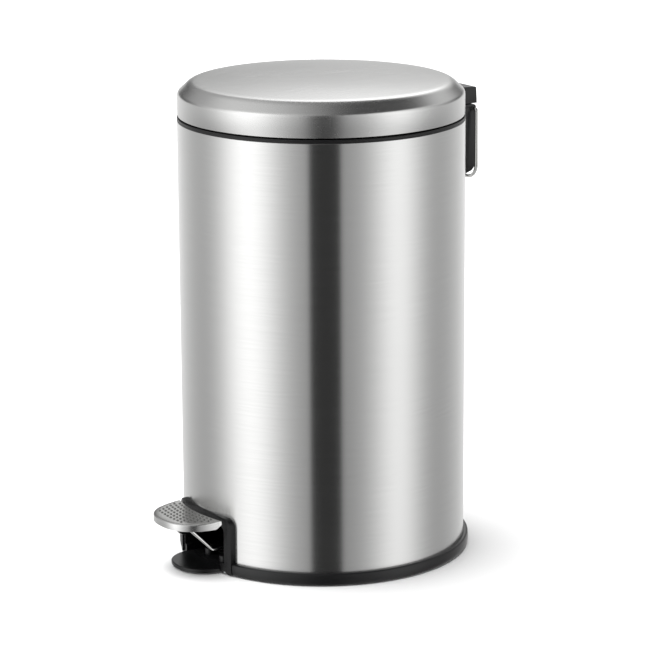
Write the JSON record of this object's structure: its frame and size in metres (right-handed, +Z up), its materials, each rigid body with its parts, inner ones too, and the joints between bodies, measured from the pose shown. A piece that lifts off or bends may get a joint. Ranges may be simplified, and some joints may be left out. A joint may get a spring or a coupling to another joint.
{
  "type": "pedal bin",
  "caption": "Round steel pedal bin: the foot pedal lifts a rear-hinged lid through a push rod; it holds a removable inner bucket and has a rear carry handle.",
  "frame": {"origin": "centre of the round body at floor level, on the plane of the feet", "axes": "+Z up along the body's axis; the pedal points to -Y and the lid hinge is at +Y"},
  "size_m": [0.25, 0.3019, 0.407],
  "materials": {
    "steel_brushed": "brushed",
    "steel_wire": "polished",
    "steel_plain": "zinc plated",
    "black_plastic": "fine satin grain",
    "dark_plastic": "plain moulded",
    "bucket_plastic": "plain moulded",
    "black_rubber": "matt"
  },
  "bodies": {
    "base": {"body_shell": "steel_brushed", "rim_ring": "black_plastic", "base_pan": "black_plastic", "rubber_feet": "black_rubber", "pedal_arch": "black_plastic", "arch_screws": "steel_plain", "toe_plate": "black_plastic", "toe_screws": "steel_plain", "pivot_stands": "dark_plastic", "stand_screws": "steel_plain", "pivot_axle": "steel_plain", "axle_clips": "steel_plain", "lever_stop": "black_rubber", "rod_guides": "dark_plastic", "guide_rivets": "steel_plain", "hinge_bracket": "black_plastic", "backing_strips": "steel_plain", "bracket_screws": "steel_plain", "hinge_pin": "steel_plain"},
    "pedal": {"lever_bushes": "dark_plastic", "pedal_lever": "steel_wire", "pedal_plate": "steel_brushed", "pedal_clips": "steel_plain"},
    "lift_rod": {"push_rod": "steel_plain", "rod_foot": "dark_plastic", "rod_yoke": "dark_plastic"},
    "lid": {"lid_shell": "steel_brushed", "lid_liner": "black_plastic", "lid_bumpers": "black_rubber", "hinge_block": "black_plastic", "block_screws": "steel_plain", "lift_lug": "black_plastic", "lug_screws": "steel_plain", "lift_pin": "steel_plain"},
    "handle": {"carry_handle": "steel_wire"},
    "inner_bucket": {"bucket": "bucket_plastic"},
    "bail": {"bucket_bail": "steel_wire"}
  },
  "joints": [
    {"name": "lid_hinge", "type": "hinge", "parent": "base", "child": "lid", "pos_m": [0, 0.136, 0.37], "axis": [-1, 0, 0], "range_deg": [0, 75]},
    {"name": "pedal_hinge", "type": "hinge", "parent": "base", "child": "pedal", "pos_m": [0, -0.045, 0.014], "axis": [1, 0, 0], "range_deg": [0, 10.6]},
    {"name": "rod_slide", "type": "slide", "parent": "base", "child": "lift_rod", "axis": [0, 0, 1], "range_m": [0, 0.0292]},
    {"name": "handle_hinge", "type": "hinge", "parent": "base", "child": "handle", "pos_m": [0, 0.136, 0.37], "axis": [1, 0, 0], "range_deg": [0, 105]},
    {"name": "bucket_lift", "type": "slide", "parent": "base", "child": "inner_bucket", "axis": [0, 0, 1], "range_m": [0, 0.0028]},
    {"name": "bail_hinge", "type": "hinge", "parent": "inner_bucket", "child": "bail", "pos_m": [0, 0, 0.3639], "axis": [-1, 0, 0], "range_deg": [0, 3.5]}
  ],
  "couplings": [
    {"joint": "pedal_hinge", "follows": "lid_hinge", "ratio": 0.14133},
    {"joint": "rod_slide", "follows": "lid_hinge", "m_per_rad": 0.022307}
  ]
}
